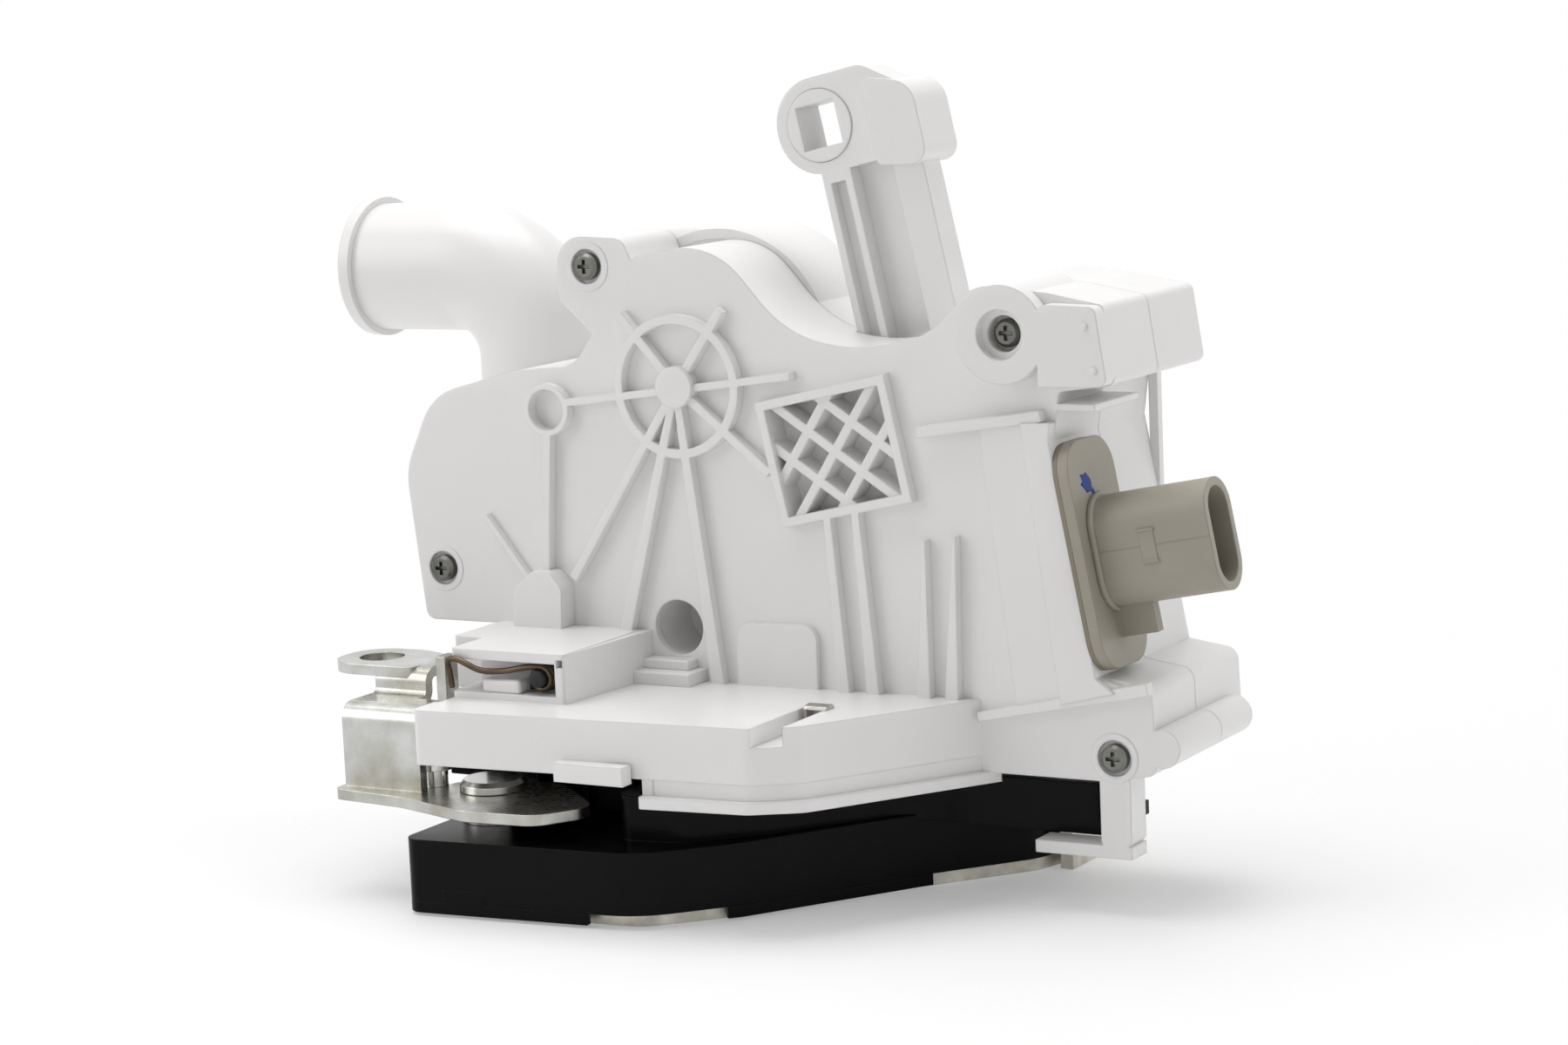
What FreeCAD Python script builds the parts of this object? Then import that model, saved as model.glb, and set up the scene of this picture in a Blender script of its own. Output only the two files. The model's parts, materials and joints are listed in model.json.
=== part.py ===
import FreeCAD, Part
import math
import os

# Car door lock: a side latch on a steel plate, with its electric lock unit standing on it.
# Millimetres. Origin at the middle of the two tapped holes, on the plate's outer face.
# +X runs along the housing's front wall, -Y towards the front, +Z up from the plate.

V = FreeCAD.Vector
X_AXIS, Y_AXIS, Z_AXIS = V(1, 0, 0), V(0, 1, 0), V(0, 0, 1)

# Clearances
fit_gap = 0.05        # round parts in their holes
face_gap = 0.3        # pieces that move past each other
seat_gap = 0.1        # pieces that are laid on each other

# Steel plate and its two tapped collars
plate_t = 2.5
plate_back_y = 16.0
hole_span = 58.0
thread_r = 2.5
collar_r = 4.0
collar_h = 4.0
slot_half = 7.0
slot_end_y = -23.0
flange_h = 22.0
flange_t = 2.5

# Latch: claw, pawl and their pins
claw_x, claw_y = -17.0, -26.0
claw_bottom = 2.9
claw_t = 3.4
jacket_t = 0.9
claw_rim_r = 23.5
tooth_rim_r = 22.0
claw_low_r = 18.6
claw_pin_r = 4.0
striker_x, striker_y = 0.0, -22.0
mouth_half = 5.6
claw_swing = 60.0
pawl_x, pawl_y = -28.0, -54.5
pawl_pin_r = 3.0
pawl_swing = 12.0
pawl_hub_r = 5.8
spring_wire_r = 0.4
spring_room = 0.8
spring_pitch = 0.9
spring_turns = 1.0

# Back plate and black latch housing
back_z = 9.3
back_t = 1.8
black_top = 13.8
tower_top = 22.0

# White lock housing
front_y = -30.0
wall_t = 2.0
split_y = -12.0
rear_y = 8.0
rib_h = 2.0
rib_w = 1.7
floor_z = 24.0

# Ledge and step in front of the wall
ledge_top = 37.0
ledge_bottom = 27.0
ledge_low = 22.1
ledge_wall = 2.2
step_top = 46.0

# Round features of the front wall
hub_x, hub_z = -22.3, 91.3
ring_r = 13.1
hub_r = 3.8
boss_x, boss_z = -50.6, 86.5
boss_r = 4.9
screw_spots = ((-41.3, 112.9), (44.0, 101.7), (-76.9, 55.5), (61.7, 28.2))
screw_head_r = 2.5
screw_r = 1.5

# Lattice window
lattice_x, lattice_z = 9.6, 80.3
lattice_w, lattice_h = 27.0, 23.0
lean = 12.0

# Plug socket on the right
plug_y = -24.0
plug_x, plug_z = 55.8, 62.8
plug_tilt = 10.5
flange_len = 40.0
flange_w = 18.6
seal_t = 1.0
plug_flange_t = 2.0
shroud_h = 19.6
shroud_w = 11.0
shroud_len = 22.0
shroud_wall = 1.5
neck_w, neck_h = 6.6, 16.0

# Release lever
rivet_x, rivet_y = -52.3, -53.0
lever_z = 17.4
lever_t = 2.0
lever_tab_z = 40.0
tab_x, tab_y = -84.5, -41.0
tab_hole_r = 4.3
rivet_head_r = 6.2

# Arm of the rear housing, with the key coupler in its head
arm_x, arm_z = 17.0, 98.0
arm_y = -11.0
arm_half = 10.3
arm_bar_w = 6.0
coupler_side, coupler_up = -8.5, 41.7
coupler_r = 6.6
coupler_hole = 8.0
crank_r = 7.0
crank_pin_r = 1.0
key_rod_r = 1.3

# Cable guide: an elbow that leads to the left
guide_x, guide_y = -72.0, 1.0
guide_r = 12.5
guide_wall = 1.9
guide_bend = 17.0
guide_up_z = 93.0
guide_foot_z = 80.0
guide_end_x = -110.5
back_ring_r = 16.0

# Drive train: motor, worm, wheel and lock lever
tooth_pitch = 3.1416
wheel_teeth = 30
wheel_r = tooth_pitch * wheel_teeth / (2 * math.pi)
wheel_t = 7.0
drive_y = -13.0
worm_r = 3.6
worm_core_r = 2.4
tooth_high = 0.8
motor_r = 9.3
motor_x0, motor_x1 = 0.0, 26.0
shaft_r = 1.2
axle_r = 2.5
crank_throw = 6.0
crank_angle = 189.5
lock_lever_t = 2.4
lever_pin_r = 2.5
inner_x, inner_z = -66.0, 72.0

os.makedirs("parts", exist_ok=True)


def save(name, shape):
    """Write one piece as a file of its own."""
    shape.exportStep("parts/%s.step" % name)


def box(x0, x1, y0, y1, z0, z1):
    return Part.makeBox(x1 - x0, y1 - y0, z1 - z0, V(x0, y0, z0))


def rod(p, q, r):
    """Round bar from p to q."""
    start, run = V(*p), V(*q) - V(*p)
    return Part.makeCylinder(r, run.Length, start, run)


def ring(p, q, r_out, r_in):
    return rod(p, q, r_out).cut(rod(p, q, r_in))


def corner_wire(points, at):
    """Closed wire through corners (u, v) or (u, v, radius); at(u, v) gives the point in space."""
    n = len(points)
    ends = []
    for i, corner in enumerate(points):
        here = V(corner[0], corner[1], 0)
        r = corner[2] if len(corner) > 2 else 0
        if r == 0:
            ends.append((here, None, here))
            continue
        before = points[i - 1]
        after = points[(i + 1) % n]
        a = (V(before[0], before[1], 0) - here).normalize()
        b = (V(after[0], after[1], 0) - here).normalize()
        half = a.getAngle(b) / 2
        back = r / math.tan(half)
        centre = here + (a + b).normalize() * (r / math.sin(half))
        middle = centre + (here - centre).normalize() * r
        ends.append((here + a * back, middle, here + b * back))
    edges = []
    for i, (start, middle, end) in enumerate(ends):
        if middle is not None:
            edges.append(Part.Arc(at(start.x, start.y), at(middle.x, middle.y), at(end.x, end.y)).toShape())
        follow = ends[(i + 1) % n][0]
        if end.distanceToPoint(follow) > 1e-6:
            edges.append(Part.makeLine(at(end.x, end.y), at(follow.x, follow.y)))
    return Part.Wire(edges)


def slab(points, z0, z1):
    """Outline in X, Y with thickness along Z."""
    wire = corner_wire(points, lambda u, v: V(u, v, z0))
    return Part.Face(wire).extrude(V(0, 0, z1 - z0))


def panel(points, y0, y1):
    """Outline in X, Z with thickness along Y."""
    wire = corner_wire(points, lambda u, v: V(u, y0, v))
    return Part.Face(wire).extrude(V(0, y1 - y0, 0))


def profile_x(points, x0, x1):
    """Outline in Y, Z with thickness along X."""
    wire = corner_wire(points, lambda u, v: V(x0, u, v))
    return Part.Face(wire).extrude(V(x1 - x0, 0, 0))


def fuse(first, *others):
    return first.fuse(list(others)).removeSplitter() if others else first


def wall_rib(p, q, width, y0, y1):
    """Straight rib on the front wall between two (x, z) points."""
    run = V(q[0] - p[0], 0, q[1] - p[1])
    side = V(-run.z, 0, run.x).normalize() * (width / 2)
    a, b = V(p[0], y0, p[1]), V(q[0], y0, q[1])
    wire = Part.makePolygon([a + side, b + side, b - side, a - side, a + side])
    return Part.Face(wire).extrude(V(0, y1 - y0, 0))


def tapered_rib(p, q, start_w, end_w, y0, y1):
    run = V(q[0] - p[0], 0, q[1] - p[1])
    side = V(-run.z, 0, run.x).normalize()
    a, b = V(p[0], y0, p[1]), V(q[0], y0, q[1])
    corners = [a + side * (start_w / 2), b + side * (end_w / 2), b - side * (end_w / 2), a - side * (start_w / 2)]
    wire = Part.makePolygon(corners + corners[:1])
    return Part.Face(wire).extrude(V(0, y1 - y0, 0))


def turned(shape, angle, centre, axis):
    moved = shape.copy()
    moved.rotate(V(*centre), axis, angle)
    return moved


def polar(angle, r, cx=0.0, cy=0.0):
    a = math.radians(angle)
    return (cx + r * math.cos(a), cy + r * math.sin(a))


def sector(cx, cy, r, start, end, z0, z1):
    """Pie slice about (cx, cy) from one angle to another, in degrees."""
    a, m, b = (polar(t, r, cx, cy) for t in (start, (start + end) / 2, end))
    edges = [
        Part.makeLine(V(cx, cy, z0), V(a[0], a[1], z0)),
        Part.Arc(V(a[0], a[1], z0), V(m[0], m[1], z0), V(b[0], b[1], z0)).toShape(),
        Part.makeLine(V(b[0], b[1], z0), V(cx, cy, z0)),
    ]
    return Part.Face(Part.Wire(edges)).extrude(V(0, 0, z1 - z0))


# Steel base plate
plate_outline = [
    (-37, -67, 2), (-14, -65, 10), (-1.5, -52.4, 30), (19.5, -22.6, 40), (34, -4.5, 12), (40, plate_back_y, 3),
    (slot_half + 6, plate_back_y, 5), (slot_half, plate_back_y - 9, 4),
    (slot_half, slot_end_y - slot_half, slot_half - 0.01), (-slot_half, slot_end_y - slot_half, slot_half - 0.01),
    (-slot_half, plate_back_y - 9, 4), (-slot_half - 6, plate_back_y, 5),
    (-39, plate_back_y, 5), (-45, -12, 8), (-44, -60, 4),
]
hole_spots = ((-hole_span / 2, 0.0), (hole_span / 2, 0.0))


def base_plate():
    plate = slab(plate_outline, 0, plate_t)
    flange = profile_x([(-2, 0), (14, 0), (14, flange_h, 6), (1, flange_h, 7), (-2, 9, 4)], 37.2, 37.2 + flange_t)
    plate = fuse(plate, flange)
    for x, y in hole_spots:
        plate = plate.fuse(rod((x, y, 0.5), (x, y, plate_t + collar_h), collar_r))
        plate = plate.cut(rod((x, y, -1), (x, y, plate_t + collar_h + 1), thread_r))
    for x, y, r in ((claw_x, claw_y, claw_pin_r), (pawl_x, pawl_y, pawl_pin_r)):
        plate = plate.cut(rod((x, y, -1), (x, y, plate_t + 1), r + fit_gap))
    return plate


# Latch mechanism. The claw is drawn closed on the striker and then opened.
striker_angle = math.degrees(math.atan2(striker_y - claw_y, striker_x - claw_x))
striker_arm = math.hypot(striker_x - claw_x, striker_y - claw_y)
tooth_start, tooth_end = 158.0, 203.0


def claw_shape(shrink, z0, z1):
    """Claw outline in its closed place: hook, tooth rim and lower leg about the pin."""
    body = rod((claw_x, claw_y, z0), (claw_x, claw_y, z1), claw_low_r - shrink)
    zones = ((striker_angle + 2, 98.0, claw_rim_r), (tooth_start, tooth_end, tooth_rim_r),
             (302.0, 360 + striker_angle - 2, claw_rim_r))
    slices = [sector(claw_x, claw_y, r - shrink, a, b, z0, z1) for a, b, r in zones]
    body = fuse(body, *slices)
    inner = striker_arm - mouth_half - shrink
    half = mouth_half + shrink
    mouth = box(inner + half, 2 * claw_rim_r, -half, half, z0 - 1, z1 + 1)
    mouth = mouth.fuse(rod((inner + half, 0, z0 - 1), (inner + half, 0, z1 + 1), half))
    mouth.translate(V(claw_x, claw_y, 0))
    body = body.cut(turned(mouth, striker_angle, (claw_x, claw_y, 0), Z_AXIS))
    body = body.cut(rod((claw_x, claw_y, z0 - 1), (claw_x, claw_y, z1 + 1), claw_pin_r + fit_gap))
    return turned(body, claw_swing, (claw_x, claw_y, 0), Z_AXIS)


claw_top = claw_bottom + claw_t
jacket_top = claw_top + jacket_t
pin_top = back_z + back_t + 0.8


def pin(x, y, r, head_r):
    """Riveted pin through both steel plates, with a collar over the back plate."""
    shank = rod((x, y, 0.2), (x, y, pin_top), r)
    head = rod((x, y, back_z + back_t), (x, y, pin_top), head_r)
    return fuse(shank, head)




def wire_section(centre, r):
    """Six-sided section of a spring's wire, square to Y."""
    corners = [centre + V(r * math.cos(math.radians(60 * i)), 0, r * math.sin(math.radians(60 * i))) for i in range(6)]
    return Part.makePolygon(corners + corners[:1])


def coil(coil_r, pitch, turns, wire_r):
    """Coil about Z that starts on the X axis."""
    helix = Part.makeHelix(pitch, pitch * turns, coil_r)
    section = wire_section(V(coil_r, 0, 0), wire_r)
    return Part.Wire(helix.Edges).makePipeShell([section], True, True)


def spring(x, y, pin_r, free_angle, leg):
    """Torsion spring about a pin: one coil with two straight legs."""
    mid_r = pin_r + spring_room + spring_wire_r
    height = spring_pitch * spring_turns
    low, high = V(mid_r, 0, 0), V(mid_r, 0, height)
    legs = [Part.Face(wire_section(high, spring_wire_r)).extrude(V(0, leg, 0)),
            Part.Face(wire_section(low, spring_wire_r)).extrude(V(0, -leg, 0))]
    body = turned(fuse(coil(mid_r, spring_pitch, spring_turns, spring_wire_r), *legs), free_angle, (0, 0, 0), Z_AXIS)
    body.translate(V(x, y, jacket_top + seat_gap + spring_wire_r))
    return body


# Pawl: engaged, its tip stands between the tooth's two places; at rest it is turned outwards.
tip_middle = (tooth_end + tooth_start + claw_swing) / 2
tip_half = 5.3
tip_r = claw_low_r + 0.7
tip_root_r = claw_rim_r + 0.8


def pawl():
    to_claw = V(claw_x - pawl_x, claw_y - pawl_y, 0).normalize()
    inner = V(pawl_x, pawl_y, 0) + to_claw * (pawl_hub_r - 0.5)
    outer = V(pawl_x, pawl_y, 0) + V(-to_claw.y, to_claw.x, 0) * (pawl_hub_r - 0.3)
    corners = [
        polar(tip_middle + tip_half, tip_r, claw_x, claw_y),
        polar(tip_middle + tip_half + 1, tip_root_r, claw_x, claw_y),
        (inner.x, inner.y), (pawl_x, pawl_y), (outer.x, outer.y),
        polar(tip_middle - tip_half, tip_root_r + 5, claw_x, claw_y) + (3,),
        polar(tip_middle - tip_half, tip_r, claw_x, claw_y) + (1,),
    ]
    hub = rod((pawl_x, pawl_y, claw_bottom), (pawl_x, pawl_y, claw_top), pawl_hub_r)
    body = fuse(slab(corners, claw_bottom, claw_top), hub)
    body = body.cut(rod((pawl_x, pawl_y, 0), (pawl_x, pawl_y, 20), pawl_pin_r + fit_gap))
    return turned(body, pawl_swing, (pawl_x, pawl_y, 0), Z_AXIS)


def back_plate():
    outline = [
        (-42, -64, 4), (-16, -62, 10), (-4, -49, 20), (14, -24, 20), (20, -12, 6), (12, -8, 4), (slot_half + 1, -10),
        (slot_half + 1, slot_end_y - slot_half - 1, slot_half + 0.9),
        (-slot_half - 1, slot_end_y - slot_half - 1, slot_half + 0.9), (-slot_half - 1, -4), (-20, -2, 5), (-43, -16, 8),
    ]
    plate = slab(outline, back_z, back_z + back_t)
    for x, y, r in ((claw_x, claw_y, claw_pin_r), (pawl_x, pawl_y, pawl_pin_r)):
        plate = plate.cut(rod((x, y, back_z - 1), (x, y, back_z + back_t + 1), r + fit_gap))
    return plate


# Black latch housing: a low block over the latch with a tower behind the ledge
block_outline = [
    (-60, -72, 3), (-13, -68, 16), (0, -54, 30), (20.5, -23.5, 40), (35.5, -4.5, 12), (35.5, 14, 3),
    (-42, 14, 4), (-47, -12, 10), (-60, -24, 4),
]
tower_outline = [
    (-22, -60, 3), (-9, -58, 8), (1.5, -47, 20), (19, -23, 12), (30, -24, 6), (57, -24, 3), (57, -6, 3),
    (36, -4, 4), (30, 10, 4), (12, 10, 3), (12, -16, 3), (-22, -16, 3),
]
black_roof = pin_top + seat_gap


def latch_room():
    """Space in which the claw, the pawl and the striker move."""
    room = rod((claw_x, claw_y, plate_t - 1), (claw_x, claw_y, back_z + seat_gap), claw_rim_r + 0.8)
    swing = slab([
        (-46, -34, 3), (-36, -22, 3), (-12, -40), (-14, -60, 4), (-36, -63, 5), (-46, -50, 5),
    ], plate_t - 1, back_z + seat_gap)
    channel = box(-slot_half - 0.8, slot_half + 0.8, slot_end_y - slot_half, 40, plate_t - 1, black_roof)
    return fuse(room, swing, channel)


def latch_housing():
    body = slab(block_outline, plate_t, black_top)
    tower = slab(tower_outline, black_top - 1, tower_top)
    inside = slab([
        (-19, -57, 1), (-11, -55.5, 6), (0.5, -44, 18), (17, -20.5, 10), (29, -21.5, 5), (54, -21.5, 1), (54, -8.5, 1),
        (34, -7, 2), (28, 7.5, 2), (14.5, 7.5, 2), (14.5, -18.5, 2), (-19, -18.5, 1),
    ], black_top + 1.5, tower_top + 1)
    shelf = box(36, 57, -24, -6, black_top - 1, black_top + 1.5)
    body = fuse(body, tower, shelf).cut(inside)
    body = body.cut(latch_room())
    plate_seat = slab([
        (-43, -65, 4), (-15.5, -63, 10), (-3, -49.5, 20), (15, -24.5, 20), (21.5, -11, 6), (12, -7, 4), (-9, -3),
        (-19.5, -1, 5), (-44, -15, 8),
    ], back_z - seat_gap, black_roof)
    body = body.cut(plate_seat)
    for x, y in hole_spots:
        body = body.cut(rod((x, y, 0), (x, y, black_top + 1), collar_r + 0.2))
    body = body.cut(box(-52, -38, -90, -70.6, plate_t - 1, 5))
    return body


def striker_buffer():
    """Rubber stop that lines the end of the striker's channel above the claw."""
    depth = 1.6
    outer = slot_half + 0.75
    c = slot_end_y
    shape = ring((0, c, jacket_top + 0.25), (0, c, back_z - seat_gap), outer, outer - depth)
    return shape.cut(box(-20, 20, c, c + 20, 0, 20))


# Release lever: a bent strip on a rivet
lever_top = lever_z + lever_t
shelf_z = 33.0


def release_lever():
    foot = slab([
        (-81.5, -62.5, 2), (-65, -64.5, 8), (-48, -70, 8), (-33, -69, 6), (-26.5, -59, 5), (-43, -44.5, 8),
        (-60, -46.5, 6), (-64, -56, 1), (-81.5, -56, 1),
    ], lever_z, lever_top)
    web_y = -58.0
    strip = profile_x([
        (web_y - lever_t, lever_z), (web_y - lever_t, shelf_z + lever_t, 3.2), (-49, shelf_z + lever_t, 1.0),
        (-49, lever_tab_z, 3.0), (-40, lever_tab_z), (-40, lever_tab_z - lever_t),
        (-47, lever_tab_z - lever_t, 1.0), (-47, shelf_z, 3.0), (web_y, shelf_z, 1.2), (web_y, lever_z),
    ], -80.5, -63.5)
    strip = strip.cut(box(-69, -60, -52, -30, lever_z, 60))
    ear = fuse(box(-64.5, -59.5, -56, -52, shelf_z, shelf_z + lever_t), box(-61.5, -59.5, -56, -52, shelf_z, 44.0))
    tab = slab([(-93, -49, 7), (-72, -49, 2), (-72, -36, 4), (-80, -33, 4), (-92, -33.5, 7)],
               lever_tab_z - lever_t, lever_tab_z)
    body = fuse(foot, strip, tab, ear)
    body = body.cut(rod((tab_x, tab_y, 30), (tab_x, tab_y, 50), tab_hole_r))
    body = body.cut(rod((rivet_x, rivet_y, 0), (rivet_x, rivet_y, 30), 3.0 + fit_gap))
    return body


def lever_rivet():
    shank = rod((rivet_x, rivet_y, black_top), (rivet_x, rivet_y, lever_top + 0.2), 3.0)
    foot = rod((rivet_x, rivet_y, black_top), (rivet_x, rivet_y, lever_z - seat_gap), 6.0)
    head = rod((rivet_x, rivet_y, lever_top + seat_gap), (rivet_x, rivet_y, lever_top + 2.2), rivet_head_r)
    return fuse(shank, foot, head.makeChamfer(0.8, [head.Edges[0]]))


def lever_stud():
    low = lever_top
    return fuse(rod((-64, -54, low), (-64, -54, ledge_bottom - 1.2), 2.0), rod((-64, -54, 22.5), (-64, -54, 23.6), 2.8))


# Wire spring on a peg in the step's pocket, behind the lever's ear
coil_x, coil_z = -39.2, 41.2
coil_r = 2.1
wire_r = 0.55
coil_y0, coil_y1 = -55.4, -52.4


def wire_path(points, r, overrun):
    """Round wire through points; each run goes past its ends by a share of r, to close the corners."""
    runs = []
    for p, q in zip(points, points[1:]):
        past = (V(*q) - V(*p)).normalize() * (r * overrun)
        runs.append(rod(V(*p) - past, V(*q) + past, r))
    return fuse(*runs)


def lever_spring():
    """Wire spring: a coil of two turns and an arm whose end bends down behind the ear."""
    turns = 2
    loops = coil(coil_r, (coil_y1 - coil_y0) / turns, turns, wire_r)
    loops.rotate(V(0, 0, 0), X_AXIS, -90)
    loops.rotate(V(0, 0, 0), Y_AXIS, -90)
    loops.translate(V(coil_x, coil_y0, coil_z))
    high = coil_z + coil_r
    arm_path = [(coil_x, coil_y0, high), (-53.5, -54.6, 42.2), (-57.6, -51.3, 42.9), (-63.9, -51.3, 42.9), (-64.4, -51.3, 36.4)]
    tail = [(coil_x, coil_y1, high), (coil_x + 1.6, coil_y1, high), (coil_x + 3.2, -50.0, high - 0.6)]
    return fuse(loops, wire_path(arm_path, wire_r, 0.5), wire_path(tail, wire_r, 0.5))


# White front cover: wall with skirt, ledge, step, ribs and screw ears
seat_half = flange_len / 2 + 0.7


def on_seat(along):
    """Point (x, z) on the line of the plug's seat, at a distance up from its middle."""
    a = math.radians(plug_tilt)
    return (plug_x - along * math.sin(a), plug_z + along * math.cos(a))


cover_outline = [
    (-56, floor_z, 1), (-56, 45.5, 2), (-81.3, 45.5, 2), (-84.3, 74, 12), (-77.5, 88.5, 12), (-58, 93.6, 30),
    (-45, 94.5, 7), (-35.5, 108, 5), (-31.5, 114.6, 3), (-14.5, 117.5, 15), (0, 101, 22), (14, 98.2, 34),
    (29, 101, 16), (37.5, 110, 7), (51.5, 108.6, 6), (62, 106.6, 1.5), (64, 93, 1.5), (53.2, 91.6, 1),
    on_seat(seat_half), on_seat(-seat_half), (69, 41, 2.5), (69.6, 25.6, 2), (58.7, floor_z, 1),
]
leg_outline = [(58.7, 30), (58.7, 12.4, 1), (64.5, 12.4, 1.5), (64.5, 30)]
ear_outline = [(-48, 107, 4), (-47.2, 118.6, 5.2), (-33.5, 118, 3), (-29, 108), (-38, 98)]


def outline_face(points, y):
    return Part.Face(corner_wire(points, lambda u, v: V(u, y, v)))


def hollow(points, y0, y1, wall, open_back):
    """Shell with a front or back wall and a skirt all round."""
    solid = outline_face(points, y0).extrude(V(0, y1 - y0, 0))
    start = y0 + wall if open_back else y0 - 1
    inner = outline_face(points, start).makeOffset2D(-wall)
    depth = y1 - y0 - wall + 1
    return solid.cut(inner.extrude(V(0, depth, 0)))


def lattice():
    """Tray set in the wall, with a raised frame and bars both ways."""
    low, high = front_y - rib_h, front_y + 5.4
    hw, hh = lattice_w / 2, lattice_h / 2
    tray = box(-hw, hw, low, high, -hh, hh)
    pocket = box(-hw + rib_w, hw - rib_w, low - 1, high - 1.6, -hh + rib_w, hh - rib_w)
    bars = []
    reach = hw + hh
    for i in range(-1, 2):
        for slope in (-1, 1):
            shift = i * lattice_w / 3
            bars.append(wall_rib((shift - reach, -slope * reach), (shift + reach, slope * reach), rib_w, low + 1, high - 1))
    window = fuse(bars[0], *bars[1:]).common(box(-hw, hw, low, high, -hh, hh))
    return tray.cut(pocket), window


def place_lattice(shape):
    placed = shape.copy()
    placed.rotate(V(0, 0, 0), Y_AXIS, -lean)
    placed.translate(V(lattice_x, 0, lattice_z))
    return placed


def front_ribs():
    """Raised ribs of the front wall."""
    y0, y1 = front_y - rib_h, front_y + 0.5
    hub = (hub_x, hub_z)
    ribs = [
        ring((hub_x, y0, hub_z), (hub_x, y1, hub_z), ring_r, ring_r - rib_w),
        rod((hub_x, y0 - 0.8, hub_z), (hub_x, y1, hub_z), hub_r),
        wall_rib((-47, 87.8), (1.6, 93.6), 1.4, y0, y1),
        wall_rib(hub, (hub_x - 11.5, hub_z + 13), rib_w, y0, y1),
        wall_rib(hub, (hub_x + 10.0, hub_z + 14), rib_w, y0, y1),
        wall_rib(hub, (-3.5, 76.0), rib_w, y0, y1),
        wall_rib(hub, (-46.5, 55), rib_w, y0, y1),
        tapered_rib(hub, (-35.8, 45), 1.5, 2.6, y0, y1),
        tapered_rib(hub, (-16.2, 36.5), 1.5, 2.8, y0, y1),
        wall_rib((boss_x, boss_z - 3), (-52.6, 55), 1.8, y0, y1),
        wall_rib((-66, 66), (-57, 54.5), 1.2, y0 + 0.8, y1),
        panel([(-58.6, 45), (-58.3, 53, 2), (-54, 56.5, 1), (-50, 56.5, 1), (-47.6, 53.5, 2), (-48, 45)], y0 - 2.5, y1),
        tapered_rib((7.9, 68.5), (9.9, 36.5), 1.5, 2.5, y0, y1),
        tapered_rib((13.6, 70), (15.9, 36.5), 1.5, 2.5, y0, y1),
        tapered_rib((27.1, 65), (26.0, 36.5), 0.6, 2.6, y0, y1),
        tapered_rib((33.1, 66), (31.5, 36.5), 0.6, 2.6, y0, y1),
        panel([(-12.4, 36.5), (-12.2, 48.3, 3), (4.4, 48.8, 3), (4.2, 36.5)], front_y - 1.2, y1),
        wall_rib((26.5, 84.2), (50.5, 87.6), 2.0, y0, y1),
        box(50, 60, front_y, split_y, 88.4, 89.6),
        tapered_rib((36.5, 34.2), (69, 41), 1.6, 2.2, y0, y1),
    ]
    return ribs


def plug_box():
    """Two steps by which the wall rises towards the plug."""
    top, foot = on_seat(seat_half), on_seat(-seat_half)
    first = panel([(38.2, 85.8), (43.9, 35.5), (66, 40.2), foot, top, (52.4, 86.5)], front_y - 1.2, front_y + 0.5)
    second = panel([(46.8, 86.4), (52.8, 37.5), (63, 40.0), foot, top, (52.4, 86.5)], front_y - 2.4, front_y)
    return first, second


ledge_outline = [(-58, -69.5, 1.5), (9, -65, 4), (16.5, -60.5, 6), (37.5, -28.2), (-57, -28.2), (-57, -62, 0.5), (-58, -62)]
ledge_right = [(-12, -68.2, 1), (9, -66, 4), (17.5, -61, 6), (39, -28.2), (-12, -28.2)]


def ledge():
    """Hollow ledge in front of the wall, lower on its right part, open below."""
    top = slab(ledge_outline, ledge_bottom, ledge_top)
    low = slab(ledge_right, ledge_low, ledge_low + 2.0)
    skirt = slab([(-12, -66.0, 1), (8.8, -64.6, 4), (16.2, -60.2, 6), (37.2, -28.2), (-12, -28.2)], ledge_low, ledge_bottom + 1)
    room = slab([(-55.5, -67, 1), (8, -62.6, 3), (15, -58.6, 5), (34.6, -28), (-54.5, -28), (-54.5, -61), (-55.5, -61)],
                ledge_low - 1, ledge_top - ledge_wall)
    tabs = box(-27.7, -13.5, -70.0, -67.0, 26.2, 29.6)
    shelf = box(-12.0, -9.8, -66, -30, ledge_low, ledge_bottom)
    body = fuse(top, low, skirt).cut(room)
    body = fuse(body, tabs, shelf)
    groove = box(9.4, 14.2, -80, -45, ledge_top - 3.4, ledge_top + 1)
    cover = box(7.6, 16, -64.5, -43.4, ledge_top - 5.4, ledge_top - 1)
    return fuse(body, cover.common(slab(ledge_outline, 0, 60))).cut(groove)


def step():
    """Raised step with the spring's pocket and the block beside it."""
    block = slab([(-57.5, -57, 1), (-33, -57, 0.8), (-33, -28.2), (-64, -28.2), (-64, -46.5, 1), (-57.5, -46.5)],
                 ledge_top - 0.5, step_top)
    room = slab([(-55.5, -45), (-35, -45), (-35, -28), (-55.5, -28)], ledge_top - 3, step_top - 2)
    pocket = box(-60, -35, -60, -47.5, ledge_top + 1.2, step_top - 1.8)
    slot = box(-34.6, -33.4, -58, -54, step_top - 2.4, step_top - 1.0)
    peg = rod((coil_x, -56.5, coil_z), (coil_x, -47.0, coil_z), coil_r - wire_r - fit_gap)
    return fuse(block.cut(room).cut(pocket).cut(slot), peg)


def screw_seat(x, z):
    """Shallow recess for a screw head with its hole."""
    return fuse(rod((x, front_y - 9, z), (x, front_y + 0.9, z), screw_head_r + 0.7),
                rod((x, front_y - 1, z), (x, split_y + 1, z), screw_r + 0.15))


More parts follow.
